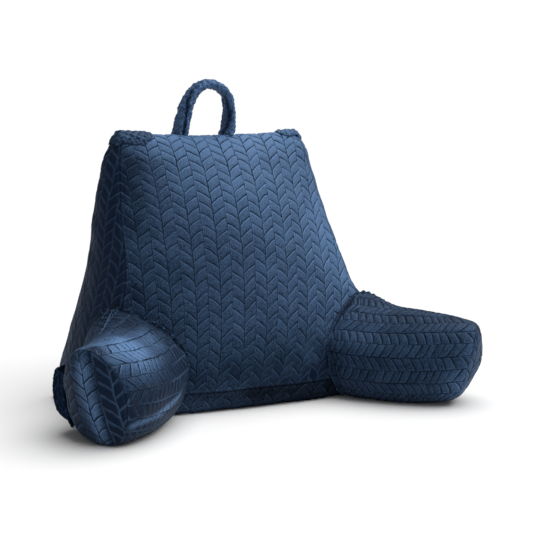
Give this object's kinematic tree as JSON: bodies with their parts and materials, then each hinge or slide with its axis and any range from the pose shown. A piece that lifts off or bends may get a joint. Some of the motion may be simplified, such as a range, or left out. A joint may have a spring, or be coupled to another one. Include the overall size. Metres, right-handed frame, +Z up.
{
  "type": "reading pillow with arms",
  "caption": "Stuffed back-rest pillow with two splayed arms, a carrying loop at the top and an open pocket on the left arm, covered in blue braid-embossed plush.",
  "frame": {"origin": "on the floor, under the centre of the pillow's bounding box", "axes": "+Z up, the sitter faces -Y, +X towards the viewer's right"},
  "size_m": [0.791, 0.4832, 0.5837],
  "materials": {
    "cover": "short-pile velvet plush, embossed in a braid of leaves",
    "strap": "the same plush, folded into a strap with its pile showing",
    "pocket": "the same plush, turned to its dark nap"
  },
  "bodies": {
    "root": {"back_cushion": "cover", "arm_left": "cover", "arm_right": "cover", "handle": "strap", "corner_wrap_left": "cover", "corner_wrap_right": "cover", "pocket": "pocket"}
  },
  "joints": []
}
